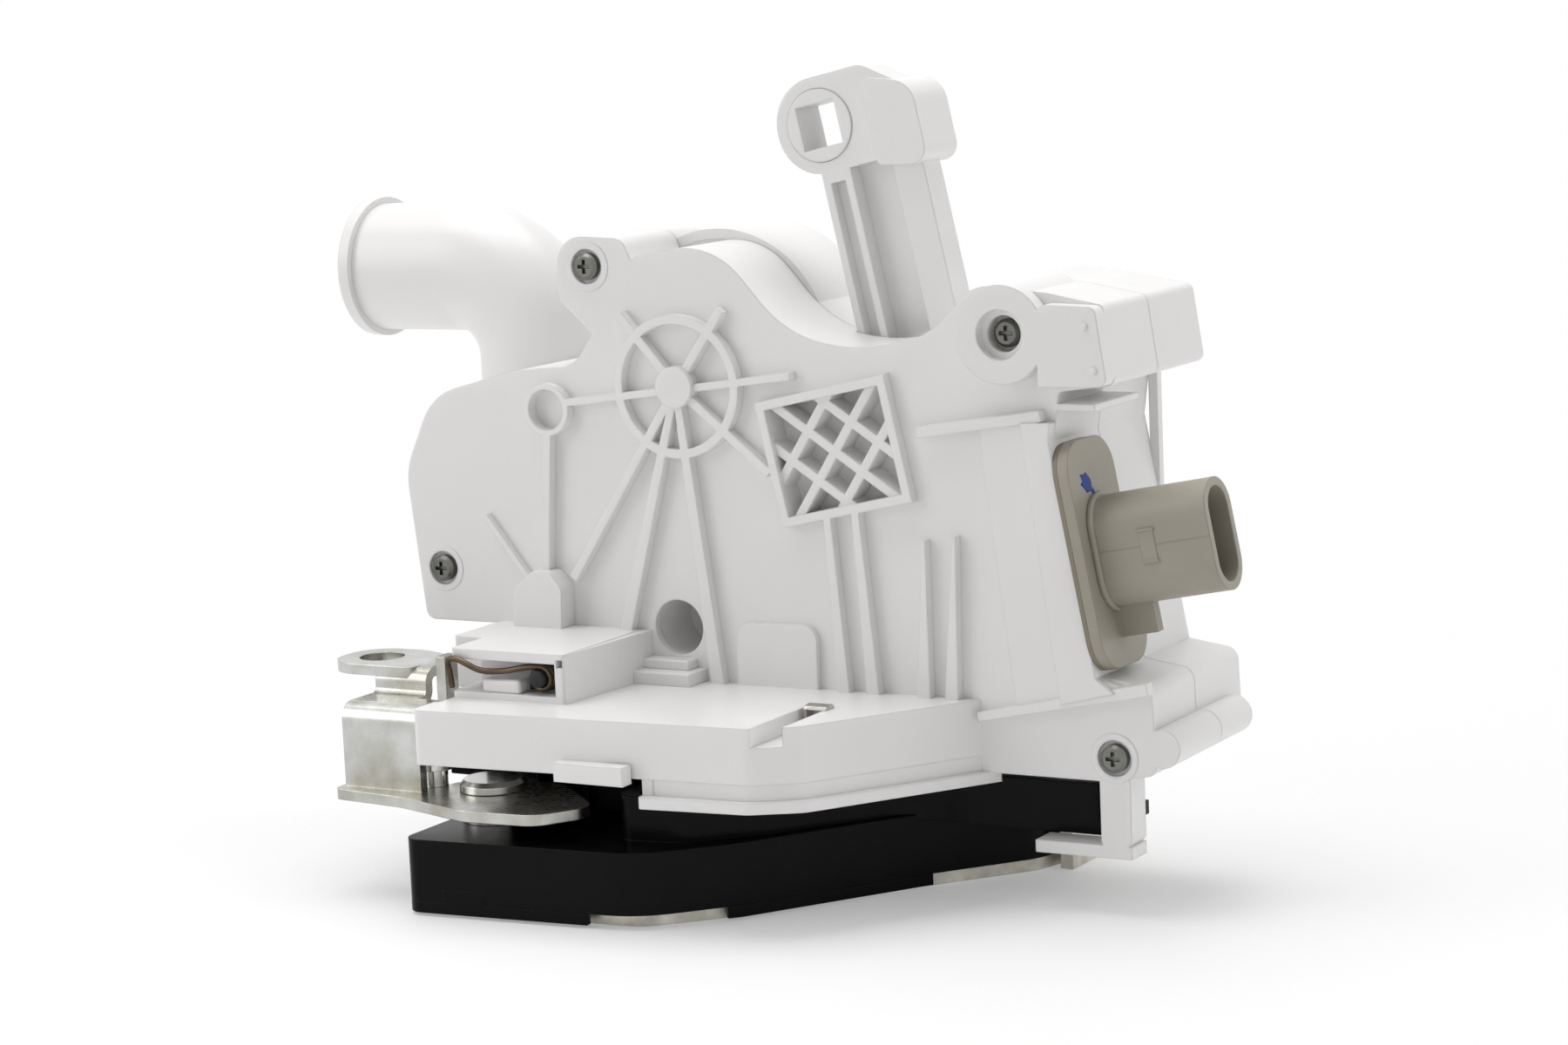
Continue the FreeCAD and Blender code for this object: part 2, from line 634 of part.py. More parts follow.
def front_cover():
    skin = hollow(cover_outline, front_y, split_y, wall_t, True)
    leg = panel(leg_outline, front_y, front_y + 6)
    foot = profile_x([(front_y, 10.4), (front_y, 12.6), (front_y + 6, 12.6), (front_y + 6, 10.4)], 46, 64.5)
    ear = panel(ear_outline, front_y, split_y)
    round_ear = rod((70.6, front_y, 30.4), (70.6, split_y, 30.4), 3.4)
    link = box(66, 70.6, front_y, split_y, 27.6, 33.4)
    lug = panel([(51, 92.8), (51, 107, 2), (62, 106.6, 1.5), (64, 93, 1.5)], front_y - 3.5, front_y + 1)
    bosses = [rod((x, front_y - 0.1, z), (x, split_y, z), r) for (x, z), r in
              zip(screw_spots, (4.6, 8.6, 4.4, 4.4))]
    raised = rod((44.0, front_y - 3.5, 101.7), (44.0, front_y + 1, 101.7), 8.6)
    cup = rod((boss_x, front_y - rib_h, boss_z), (boss_x, front_y + 2, boss_z), boss_r)
    body = fuse(skin, leg, foot, ear, round_ear, link, lug, raised, *bosses)
    body = fuse(body, cup, *front_ribs())
    body = fuse(body, *plug_box())
    body = fuse(body, ledge(), step())
    tray, window = lattice()
    hw, hh = lattice_w / 2, lattice_h / 2
    body = body.cut(place_lattice(box(-hw, hw, front_y - 9, front_y + 5.4, -hh, hh)))
    body = fuse(body, place_lattice(tray), place_lattice(window))
    body = body.cut(rod((boss_x, front_y - 9, boss_z), (boss_x, front_y + 0.6, boss_z), boss_r - 1.1))
    body = body.cut(rod((-25.1, -34, 46.7), (-25.1, front_y + 3, 46.7), 5.1))
    for x, z in screw_spots:
        body = body.cut(screw_seat(x, z))
    body = body.cut(rod((44.0, front_y - 9, 101.7), (44.0, front_y - 1.6, 101.7), 4.4))
    foot_room = in_arm(box(-arm_half - 0.2, arm_half + 0.2, arm_y - 3.5 - face_gap, 0, -6, 12))
    return body.cut(plug_hole).cut(foot_room)


def cover_screws():
    """Four pan-head screws; the heads lie in the seats."""
    screws = []
    for x, z in screw_spots:
        head_y = front_y + 0.9
        head = rod((x, head_y - 1.9, z), (x, head_y, z), screw_head_r)
        head = head.makeChamfer(0.6, [e for e in head.Edges if abs(e.BoundBox.YMin - head_y + 1.9) < 1e-3 and e.Closed])
        cross = [box(x - 1.3, x + 1.3, head_y - 3, head_y - 0.9, z - 0.35, z + 0.35),
                 box(x - 0.35, x + 0.35, head_y - 3, head_y - 0.9, z - 1.3, z + 1.3)]
        shank = rod((x, head_y, z), (x, split_y + 6, z), screw_r)
        screws.append(fuse(head, shank).cut(cross))
    return Part.makeCompound(screws)


def in_plug(shape):
    """Move a piece drawn along +X at the plug's seat into place."""
    placed = shape.copy()
    placed.rotate(V(0, 0, 0), Y_AXIS, -plug_tilt)
    placed.translate(V(plug_x, plug_y, plug_z))
    return placed


def rounded_block(x0, x1, width, height, r):
    """Block along X with rounded long edges."""
    w, h = width / 2, height / 2
    return profile_x([(-w, -h, r), (w, -h, r), (w, h, r), (-w, h, r)], x0, x1)


plug_hole = in_plug(rounded_block(-6, 3, neck_w + 0.4, neck_h + 0.4, 1.0))


def connector_seal():
    pad = rounded_block(0.1, seal_t, flange_w, flange_len, 6)
    return in_plug(pad.cut(rounded_block(-1, 3, neck_w + 0.2, neck_h + 0.2, 1.0)))


def connector_body():
    face = seal_t + plug_flange_t
    flange = rounded_block(seal_t, face, flange_w, flange_len, 6)
    neck = rounded_block(-7, seal_t, neck_w, neck_h, 1.0)
    shroud = rounded_block(face, face + shroud_len, shroud_w, shroud_h, shroud_w / 2 - 0.1)
    rib = box(face, face + 7, -1.2, 1.2, -flange_len / 2 + 5, -shroud_h / 2 + 2)
    body = fuse(flange, neck, shroud, rib)
    socket = rounded_block(face + 3, face + shroud_len + 1, shroud_w - 2 * shroud_wall, shroud_h - 2 * shroud_wall,
                           shroud_w / 2 - shroud_wall - 0.1)
    body = body.cut(socket)
    for z in contact_heights:
        body = body.cut(box(-8, face + 4, -0.45, 0.45, z - 0.45, z + 0.45))
    return in_plug(body)


contact_heights = (-5.4, -1.8, 1.8, 5.4)


def contact_pins():
    face = seal_t + plug_flange_t
    pins = [box(-8.5, face + 14, -0.4, 0.4, z - 0.4, z + 0.4) for z in contact_heights]
    return Part.makeCompound([in_plug(p) for p in pins])


def in_arm(shape):
    """Move a piece drawn upright at the arm's foot into place."""
    placed = shape.copy()
    placed.rotate(V(0, 0, 0), Y_AXIS, -lean)
    placed.translate(V(arm_x, 0, arm_z))
    return placed


def arm():
    """Slotted arm with two bars and a round head for the coupler."""
    y0, y1 = arm_y - 3.5, arm_y + 3.0
    left = box(-arm_half, -arm_half + arm_bar_w, y0, y1, -2, 36)
    right = box(arm_half - arm_bar_w, arm_half, y0, y1, -2, 36)
    web = box(-arm_half, arm_half, arm_y, arm_y + 1.6, -2, 36)
    groove = box(-arm_half + 1.5, -arm_half + arm_bar_w - 1.5, y0 - 1, y0 + 2.2, 2, 31)
    head = panel([(-17.3, 33, 8.5), (11.4, 33, 2), (11.4, 44, 4), (2, 50.4, 4), (-17.3, 50.4, 8.5)], y0, y1)
    cheek = panel([(2.5, 32, 1), (12.4, 30, 3), (12.4, 45, 5), (2.5, 48, 1)], y0 - 2.0, y1 + 4)
    body = fuse(left.cut(groove), right, web, head, cheek)
    body = body.cut(rod((coupler_side, -40, coupler_up), (coupler_side, 10, coupler_up), coupler_r + fit_gap))
    path = box(key_slot_x - 4.6, key_slot_x + 4.6, y1, 10, coupler_up - 14, coupler_up + 12)
    return body.cut(path)


key_slot_x = coupler_side + crank_r


def arm_foot(gap):
    """Block by which the arm sits in the housing's roof, grown by a gap."""
    return box(-arm_half - 1 - gap, arm_half + 1 + gap, split_y + seat_gap, -4 + gap, -4 - gap, 1)


def key_arm():
    """Arm for the lock cylinder, with the way of its rod through the foot."""
    body = in_arm(fuse(arm(), arm_foot(0)))
    return body.cut(key_way())


def key_way():
    return in_arm(rod((key_slot_x, key_rod_y, -14), (key_slot_x, key_rod_y, 30), key_rod_r + 0.6))


def guide():
    """Elbow tube: up out of the housing, then to the left. Gives its outside, its bore and its end collar."""
    high = guide_up_z + guide_bend
    out_x = guide_x - guide_bend
    low = rod((guide_x, guide_y, guide_foot_z), (guide_x, guide_y, guide_up_z), guide_r)
    bend = Part.makeTorus(guide_bend, guide_r, V(out_x, guide_y, guide_up_z), -Y_AXIS)
    quarter = box(out_x, guide_x + guide_r + 1, guide_y - guide_r - 1, guide_y + guide_r + 1,
                  guide_up_z, high + guide_r + 1)
    out = rod((guide_end_x, guide_y, high), (out_x, guide_y, high), guide_r)
    collar = ring((guide_end_x, guide_y, high), (guide_end_x + 2.4, guide_y, high), guide_r + 1.2, guide_r - guide_wall)
    mitre = guide_bend * math.tan(math.radians(22.5))
    path = [(guide_x, guide_y, guide_foot_z - 1), (guide_x, guide_y, guide_up_z + mitre),
            (out_x + mitre, guide_y, high), (guide_end_x - 1, guide_y, high)]
    return fuse(low, bend.common(quarter), out), wire_path(path, guide_r - guide_wall, 0.1), collar


def cable_guide():
    outer, bore, collar = guide()
    return fuse(outer, collar).cut(bore)


def back_ribs():
    """Raised ribs of the rear wall, kept inside the housing's outline."""
    y0, y1 = rear_y - 0.5, rear_y + 1.4
    hub = (hub_x, hub_z)
    ribs = [ring((hub_x, y0, hub_z), (hub_x, y1, hub_z), back_ring_r, back_ring_r - rib_w),
            rod((hub_x, y0, hub_z), (hub_x, y1 + 0.6, hub_z), 5.0)]
    for angle in (30, 90, 150, 210, 330):
        ribs.append(wall_rib(hub, polar(angle, back_ring_r, *hub), rib_w, y0, y1))
    for foot_x in (-44, -22, 0):
        ribs.append(tapered_rib((hub_x + (foot_x - hub_x) * 0.4, hub_z - 13), (foot_x, floor_z + 5), 1.4, 2.2, y0, y1))
    for low in (38.0, 58.0):
        ribs.append(wall_rib((-50, low), (62, low), rib_w, y0, y1))
    for x in (18, 30, 42, 54):
        ribs.append(wall_rib((x, floor_z + 5), (x, 94), rib_w, y0, y1))
    ribs.append(wall_rib((-78, 74), (-50, 58), rib_w, y0, y1))
    return ribs


def rear_housing():
    """Rear half of the lock housing, with bosses, the arm and the cable guide."""
    shell = hollow(cover_outline, split_y + seat_gap, rear_y, wall_t, False)
    bump = rod((-24, split_y + seat_gap, 95.5), (-24, rear_y, 95.5), 22.8)
    bump = bump.cut(rod((-24, split_y - 1, 95.5), (-24, rear_y - wall_t, 95.5), 20.8))
    bump = bump.cut(panel([(-60, 50), (-60, 96), (-44.5, 96.6), (-30, 110), (-14.5, 112), (-2, 102), (10, 96), (10, 50)],
                          split_y - 1, rear_y - wall_t))
    ear = panel(ear_outline, split_y + seat_gap, split_y + 9)
    inner = rear_y - wall_t
    bosses = [rod((x, split_y + seat_gap, z), (x, rear_y, z), 4.2) for x, z in screw_spots]
    round_ear = rod((70.6, split_y + seat_gap, 30.4), (70.6, rear_y - 6, 30.4), 3.4)
    link = box(66, 70.6, split_y + seat_gap, rear_y - 6, 27.6, 33.4)
    body = fuse(shell, ear, round_ear, link, *bosses)
    body = fuse(body, bump)
    seat = fuse(in_arm(box(-arm_half - 2.4, arm_half + 2.4, split_y + seat_gap, -2.4, -5.4, 0)), body)
    arm_room = box(-arm_half - fit_gap, arm_half + fit_gap, split_y, arm_y + 3 + fit_gap, 0, 9)
    body = seat.cut(in_arm(fuse(arm_foot(fit_gap), arm_room)))
    body = body.cut(rod((guide_x, guide_y, guide_foot_z), (guide_x, guide_y, guide_up_z + 3), guide_r + fit_gap))
    cradles = []
    for x in (motor_x0 + 4, motor_x1 - 6):
        cradle = box(x, x + 2, drive_y + 2, inner + 0.5, worm_z - 11, worm_z + 11)
        cradles.append(cradle.cut(rod((x - 1, drive_y, worm_z), (x + 3, drive_y, worm_z), motor_r + fit_gap)))
    end_x = hub_x - 12.2
    post = box(end_x - 3.4, end_x, drive_y - 3, inner + 0.5, worm_z - 3, worm_z + 3)
    post = post.cut(rod((end_x - 2.6, drive_y, worm_z), (end_x + 1, drive_y, worm_z), shaft_r + fit_gap))
    seats = [rod((hub_x, inner - 4, hub_z), (hub_x, inner + 0.5, hub_z), axle_r + 2),
             rod((inner_x, inner - 3, inner_z), (inner_x, inner + 0.5, inner_z), 4.5)]
    for angle in buffer_angles:
        x, z = polar(angle, buffer_path_r, hub_x, hub_z)
        seats.append(rod((x, drive_y + wheel_t / 2 + 0.6, z), (x, inner + 0.5, z), 1.2))
        seats.append(rod((x, drive_y + wheel_t / 2 + 4.0, z), (x, inner + 0.5, z), 2.2))
    body = fuse(body, post, *cradles, *seats)
    body = fuse(body, *back_ribs())
    body = body.cut(rod((hub_x, inner - 5, hub_z), (hub_x, inner, hub_z), axle_r + fit_gap))
    body = body.cut(rod((inner_x, inner - 5, inner_z), (inner_x, inner, inner_z), lever_pin_r + fit_gap))
    for x, z in screw_spots:
        body = body.cut(rod((x, split_y - 1, z), (x, split_y + 7, z), screw_r + 0.02))
    return body.cut(key_way())


# Drive train
worm_z = hub_z - wheel_r - worm_r
buffer_path_r = 10.5
buffer_angles = (90 - 63, 90 + 63)


def motor():
    can = rod((motor_x0 + 1.6, drive_y, worm_z), (motor_x1, drive_y, worm_z), motor_r)
    flats = [box(-50, 50, drive_y - 20, drive_y + 20, worm_z + s * 12.6 - 5, worm_z + s * 12.6 + 5) for s in (-1, 1)]
    can = can.cut(flats)
    nose = rod((motor_x0, drive_y, worm_z), (motor_x0 + 1.6, drive_y, worm_z), 4.0)
    return fuse(can, nose).cut(rod((motor_x0 - 1, drive_y, worm_z), (motor_x0 + 14, drive_y, worm_z), shaft_r + fit_gap))


def motor_cap():
    cap = rod((motor_x1 + seat_gap, drive_y, worm_z), (motor_x1 + 3.2, drive_y, worm_z), motor_r)
    flats = [box(-50, 50, drive_y - 20, drive_y + 20, worm_z + s * 12.6 - 5, worm_z + s * 12.6 + 5) for s in (-1, 1)]
    tab = [box(motor_x1 + 1, motor_x1 + 6, drive_y + s * 4 - 1.2, drive_y + s * 4 + 1.2, worm_z - 0.4, worm_z + 0.4)
           for s in (-1, 1)]
    return fuse(cap.cut(flats), *tab)


def motor_shaft():
    return rod((hub_x - 12.2 - 2.3, drive_y, worm_z), (motor_x0 + 12, drive_y, worm_z), shaft_r)


def worm():
    """Worm with one helical thread that meshes with the wheel from below."""
    turns = 2
    length = turns * tooth_pitch
    core = Part.makeCylinder(worm_core_r, length + 5, V(0, 0, -2.5))
    helix = Part.makeHelix(tooth_pitch, length, worm_r)
    r0, r1 = worm_core_r - 0.3, worm_r + tooth_high
    profile = Part.makePolygon([V(r0, 0, -1.0), V(r1, 0, -0.35), V(r1, 0, 0.35), V(r0, 0, 1.0), V(r0, 0, -1.0)])
    thread = Part.Wire(helix.Edges).makePipeShell([Part.Wire(profile)], True, True)
    body = fuse(core, thread)
    body = body.cut(Part.makeCylinder(shaft_r, length + 10, V(0, 0, -5)))
    body.rotate(V(0, 0, 0), Y_AXIS, 90)
    body.translate(V(hub_x - turns // 2 * tooth_pitch, drive_y, worm_z))
    return body


def wheel_point(angle, r):
    x, z = polar(angle, r, hub_x, hub_z)
    return x, z


def worm_wheel():
    """Wheel with slanted teeth, a crank pin in front and a stop lug behind."""
    y0, y1 = drive_y - wheel_t / 2, drive_y + wheel_t / 2
    root_r = wheel_r - tooth_high - 0.45
    body = rod((hub_x, y0, hub_z), (hub_x, y1, hub_z), root_r)
    body = body.cut(ring((hub_x, y0 - 1, hub_z), (hub_x, y0 + 2.2, hub_z), root_r - 2.2, 9.0))
    slant = tooth_pitch / (2 * math.pi * worm_r) * wheel_t
    teeth = []
    for i in range(wheel_teeth):
        angle = -90 + i * 360 / wheel_teeth
        radial = V(*(polar(angle, 1)[0], 0, polar(angle, 1)[1]))
        along = V(-radial.z, 0, radial.x)
        centre = V(hub_x, y0, hub_z) + along * (slant / 2)
        corners = [centre + radial * (root_r - 0.4) - along * 0.85, centre + radial * (wheel_r + tooth_high) - along * 0.3,
                   centre + radial * (wheel_r + tooth_high) + along * 0.3, centre + radial * (root_r - 0.4) + along * 0.85]
        teeth.append(Part.Face(Part.makePolygon(corners + corners[:1])).extrude(V(0, wheel_t, 0) - along * slant))
    px, pz = wheel_point(crank_angle, crank_throw)
    crank = rod((px, y0 - 3.6, pz), (px, y0 + 2.5, pz), 1.5)
    hub = rod((hub_x, y1, hub_z), (hub_x, y1 + 3, hub_z), axle_r + 2.4)
    hub_front = rod((hub_x, y0 - 0.6, hub_z), (hub_x, y0, hub_z), axle_r + 1.2)
    lx, lz = wheel_point(90, buffer_path_r)
    lug = box(lx - 1.6, lx + 1.6, y1 - 0.5, y1 + 3, lz - 2.2, lz + 2.2)
    body = fuse(body, crank, hub, hub_front, lug, *teeth)
    return body.cut(rod((hub_x, -40, hub_z), (hub_x, 10, hub_z), axle_r + fit_gap))


def wheel_buffers():
    rings = []
    for angle in buffer_angles:
        x, z = wheel_point(angle, buffer_path_r)
        y = drive_y + wheel_t / 2
        rings.append(ring((x, y + 0.8, z), (x, y + 3.8, z), 2.4, 1.2))
    return Part.makeCompound(rings)


def wheel_axle():
    return rod((hub_x, front_y + wall_t + seat_gap, hub_z), (hub_x, rear_y - wall_t - seat_gap, hub_z), axle_r)


def lock_lever():
    """Lever on the round boss, moved by the wheel's crank pin."""
    px, pz = wheel_point(crank_angle, crank_throw)
    y1 = drive_y - wheel_t / 2 - 0.9
    y0 = y1 - lock_lever_t
    hub = rod((boss_x, y0, boss_z), (boss_x, y1, boss_z), lever_pin_r + 2.6)
    upper = wall_rib((boss_x, boss_z), (px + 2.2, pz + 0.4), 7.4, y0, y1)
    lower = tapered_rib((boss_x, boss_z), (boss_x - 2, 59), 8.0, 6.0, y0, y1)
    toe = rod((boss_x - 2, y0, 59), (boss_x - 2, y1, 59), 3.4)
    body = fuse(hub, upper, lower, toe)
    slot = wall_rib((px - 2.6, pz - 0.45), (px + 12, pz + 2.1), 2 * 1.5 + 0.9, y0 - 1, y1 + 1)
    body = body.cut(slot)
    body = body.cut(rod((boss_x - 2, y0 - 1, 59), (boss_x - 2, y1 + 1, 59), 1.6))
    return body.cut(rod((boss_x, -40, boss_z), (boss_x, 0, boss_z), lever_pin_r + fit_gap))


def lock_lever_pin():
    y = front_y + wall_t + seat_gap
    end = drive_y - wheel_t / 2 - 0.4
    collar = rod((boss_x, y, boss_z), (boss_x, drive_y - wheel_t / 2 - 0.9 - lock_lever_t - 0.2, boss_z), lever_pin_r + 1.5)
    return fuse(rod((boss_x, y, boss_z), (boss_x, end, boss_z), lever_pin_r), collar)


def inner_lever():
    """Bell crank that the inside handle's cable pulls."""
    y0, y1 = -6.0, -3.0
    hub = rod((inner_x, y0, inner_z), (inner_x, y1 + 5.8, inner_z), lever_pin_r + 2.2)
    up = tapered_rib((inner_x, inner_z), (-73, 83), 8, 5, y0, y1)
    nose = rod((-73, y0, 83), (-73, y1, 83), 3.2)
    down = tapered_rib((inner_x, inner_z), (-60, 52), 8, 6, y0, y1)
    toe = rod((-60, y0, 52), (-60, y1, 52), 3.0)
    body = fuse(hub, up, nose, down, toe)
    body = body.cut(rod((-73, y0 - 1, 83), (-73, y1 + 1, 83), 1.7))
    return body.cut(rod((inner_x, -20, inner_z), (inner_x, 10, inner_z), lever_pin_r + fit_gap))


def inner_lever_pin():
    head = rod((inner_x, -7.8, inner_z), (inner_x, -6.2, inner_z), lever_pin_r + 1.5)
    return fuse(rod((inner_x, -7, inner_z), (inner_x, rear_y - wall_t - seat_gap, inner_z), lever_pin_r), head)


# Key coupler in the arm's head and its rod
key_rod_y = arm_y + 6.6
drum_y0, drum_y1 = arm_y - 3.7, arm_y + 3.2


def key_coupler():
    c = coupler_side
    drum = rod((c, drum_y0, coupler_up), (c, drum_y1, coupler_up), coupler_r)
    plate = rod((c, drum_y1, coupler_up), (c, drum_y1 + 1.6, coupler_up), crank_r + 1.5)
    pin_end = rod((c + crank_r, drum_y1, coupler_up), (c + crank_r, key_rod_y + 1.3, coupler_up), crank_pin_r)
    h = coupler_hole / 2
    hole = box(c - h, c + h, drum_y0 - 1, drum_y1 + 4, coupler_up - h, coupler_up + h)
    return in_arm(fuse(drum, plate, pin_end).cut(hole))


def key_rod():
    x = key_slot_x
    bar = rod((x, key_rod_y, -11), (x, key_rod_y, coupler_up - 4), key_rod_r)
    eye = box(x - 2.8, x + 2.6, key_rod_y - 1.0, key_rod_y + 1.0, coupler_up - 5, coupler_up + 2.6)
    eye = eye.cut(box(x - 2.0, x + 1.5, key_rod_y - 3, key_rod_y + 3, coupler_up - crank_pin_r - 0.3,
                      coupler_up + crank_pin_r + 0.3))
    return in_arm(fuse(bar, eye))


def claw_switch():
    z = black_top + 1.6
    body = box(40, 52, -18, -12, z, z + 5.0)
    button = box(37.4, 40, -16, -14, z + 1.6, z + 3.4)
    return fuse(body, button)


def lock_switch():
    y = front_y + wall_t + seat_gap
    body = box(-48, -38, y, y + 6, 58, 65)
    button = box(-49.8, -48, y + 2, y + 4, 60.5, 62.5)
    return fuse(body, button)


def lead_frame():
    """Carrier of the conductors between motor, switches and plug."""
    y = rear_y - wall_t - seat_gap
    plate = panel([(-12, 40, 2), (-12, 52, 2), (20, 52, 2), (28, 57, 2), (50, 57, 2), (50, 40, 2)], y - 2, y)
    tracks = [box(-8, 46, y - 2.6, y - 2, z, z + 1.4) for z in (42, 45, 48)]
    riser = box(38, 44, plug_y + 3.4, y - 1.9, 50, 54)
    return fuse(plate, riser, *tracks)


pieces = {
    "base_plate": base_plate(),
    "claw_core": claw_shape(0.0, claw_bottom, claw_top),
    "claw_jacket": claw_shape(0.6, claw_top, jacket_top),
    "claw_pin": pin(claw_x, claw_y, claw_pin_r, claw_pin_r + 1.6),
    "pawl": pawl(),
    "pawl_pin": pin(pawl_x, pawl_y, pawl_pin_r, pawl_pin_r + 1.4),
    "claw_spring": spring(claw_x, claw_y, claw_pin_r, 100, 9),
    "pawl_spring": spring(pawl_x, pawl_y, pawl_pin_r, 35, 7),
    "back_plate": back_plate(),
    "latch_housing": latch_housing(),
    "striker_buffer": striker_buffer(),
    "release_lever": release_lever(),
    "lever_rivet": lever_rivet(),
    "lever_stud": lever_stud(),
    "lever_spring": lever_spring(),
    "front_cover": front_cover(),
    "cover_screws": cover_screws(),
    "rear_housing": rear_housing(),
    "key_arm": key_arm(),
    "cable_guide": cable_guide(),
    "connector_body": connector_body(),
    "connector_seal": connector_seal(),
    "contact_pins": contact_pins(),
    "motor_can": motor(),
    "motor_cap": motor_cap(),
    "motor_shaft": motor_shaft(),
    "motor_worm": worm(),
    "worm_wheel": worm_wheel(),
    "wheel_buffers": wheel_buffers(),
    "wheel_axle": wheel_axle(),
    "lock_lever": lock_lever(),
    "lock_lever_pin": lock_lever_pin(),
    "inner_lever": inner_lever(),
    "inner_lever_pin": inner_lever_pin(),
    "key_coupler": key_coupler(),
    "key_rod": key_rod(),
    "claw_switch": claw_switch(),
    "lock_switch": lock_switch(),
    "lead_frame": lead_frame(),
}

for name, shape in pieces.items():
    save(name, shape)
    count = len(shape.Solids)
    if not shape.isValid() or (count != 1 and name not in ("cover_screws", "contact_pins", "wheel_buffers")):
        print("check", name, count, shape.isValid())
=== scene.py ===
import json
import math

import bmesh
import bpy
from mathutils import Matrix, Vector


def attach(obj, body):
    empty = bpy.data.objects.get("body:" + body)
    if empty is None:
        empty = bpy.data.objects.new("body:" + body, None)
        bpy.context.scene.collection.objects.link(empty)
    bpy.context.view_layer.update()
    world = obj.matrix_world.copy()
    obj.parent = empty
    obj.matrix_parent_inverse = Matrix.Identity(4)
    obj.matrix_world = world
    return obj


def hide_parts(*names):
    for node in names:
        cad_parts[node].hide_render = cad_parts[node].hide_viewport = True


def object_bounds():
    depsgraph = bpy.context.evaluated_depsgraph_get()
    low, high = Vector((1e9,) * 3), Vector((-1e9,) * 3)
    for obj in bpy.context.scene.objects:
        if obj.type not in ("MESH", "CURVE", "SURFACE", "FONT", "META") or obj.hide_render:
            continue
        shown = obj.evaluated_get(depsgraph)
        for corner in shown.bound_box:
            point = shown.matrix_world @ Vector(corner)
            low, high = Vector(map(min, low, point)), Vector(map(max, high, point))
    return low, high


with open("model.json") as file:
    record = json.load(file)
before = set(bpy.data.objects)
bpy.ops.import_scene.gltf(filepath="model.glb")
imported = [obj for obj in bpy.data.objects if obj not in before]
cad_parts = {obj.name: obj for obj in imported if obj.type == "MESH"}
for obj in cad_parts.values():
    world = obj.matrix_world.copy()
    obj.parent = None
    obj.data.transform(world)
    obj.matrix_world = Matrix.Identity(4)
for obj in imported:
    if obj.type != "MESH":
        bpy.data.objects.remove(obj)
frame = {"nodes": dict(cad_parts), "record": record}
cad_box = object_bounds()
nodes = frame["nodes"]
MM = 0.001


# Camera, as the photograph was taken
AIM = Vector((-2.0, -30.0, 67.0)) * MM
DISTANCE = 0.656
AZIMUTH, ELEVATION, ROLL = math.radians(30), math.radians(8.6), math.radians(2.5)
FOCAL_PIXELS = 4200.0
IMAGE_WIDTH = 1800.0
SENSOR_WIDTH = 36.0
CLIP_START = 0.01


def make_camera():
    flat = math.cos(ELEVATION)
    back = Vector((math.sin(AZIMUTH) * flat, -math.cos(AZIMUTH) * flat, math.sin(ELEVATION)))
    level = Vector((math.cos(AZIMUTH), math.sin(AZIMUTH), 0))
    up = back.cross(level)
    right = level * math.cos(ROLL) - up * math.sin(ROLL)
    up = level * math.sin(ROLL) + up * math.cos(ROLL)
    camera = bpy.data.objects.new("camera", bpy.data.cameras.new("camera"))
    bpy.context.scene.collection.objects.link(camera)
    turn = Matrix((right, up, back)).transposed().to_4x4()
    camera.matrix_world = Matrix.Translation(AIM + back * DISTANCE) @ turn
    camera.data.sensor_width = SENSOR_WIDTH
    camera.data.lens = SENSOR_WIDTH * FOCAL_PIXELS / IMAGE_WIDTH
    camera.data.clip_start = CLIP_START
    bpy.context.scene.camera = camera


# Materials: noise scales are in waves to the metre
COLOUR_SCALE = 42
ROUGHNESS_SCALE = 160
COLOUR_REACH = (0.3, 0.7)
ROUGHNESS_REACH = (0.1, 0.9)
BUMP_STRENGTH = 0.6
BEVEL_SAMPLES = 6
SCATTER_COLOUR = (1.0, 0.92, 0.85)
SCATTER_DEPTH = 0.0016


def new_material(name):
    made = bpy.data.materials.new(name)
    made.use_nodes = True
    tree = made.node_tree
    return made, tree, tree.nodes["Principled BSDF"]


def noise(tree, scale, detail=3.0, stretch=(1, 1, 1)):
    """Noise in the part's own space."""
    place = tree.nodes.new("ShaderNodeTexCoord")
    mapping = tree.nodes.new("ShaderNodeMapping")
    mapping.inputs["Scale"].default_value = stretch
    tree.links.new(place.outputs["Object"], mapping.inputs["Vector"])
    field = tree.nodes.new("ShaderNodeTexNoise")
    field.inputs["Scale"].default_value = scale
    field.inputs["Detail"].default_value = detail
    tree.links.new(mapping.outputs["Vector"], field.inputs["Vector"])
    return field.outputs["Fac"]


def ramp(tree, source, low, high):
    """Colours or greys between two ends, along a noise."""
    node = tree.nodes.new("ShaderNodeValToRGB")
    ends = node.color_ramp.elements
    ends[0].position, ends[1].position = COLOUR_REACH
    ends[0].color, ends[1].color = (*low, 1), (*high, 1)
    tree.links.new(source, node.inputs["Fac"])
    return node.outputs["Color"]


def remap(tree, source, reach, low, high):
    """Number from low to high as the source goes over its reach."""
    node = tree.nodes.new("ShaderNodeMapRange")
    node.inputs["From Min"].default_value, node.inputs["From Max"].default_value = reach
    node.inputs["To Min"].default_value, node.inputs["To Max"].default_value = low, high
    tree.links.new(source, node.inputs["Value"])
    return node.outputs["Result"]


def vary_roughness(tree, shader, source, low, high):
    rough = remap(tree, source, ROUGHNESS_REACH, low, high)
    tree.links.new(rough, shader.inputs["Roughness"])


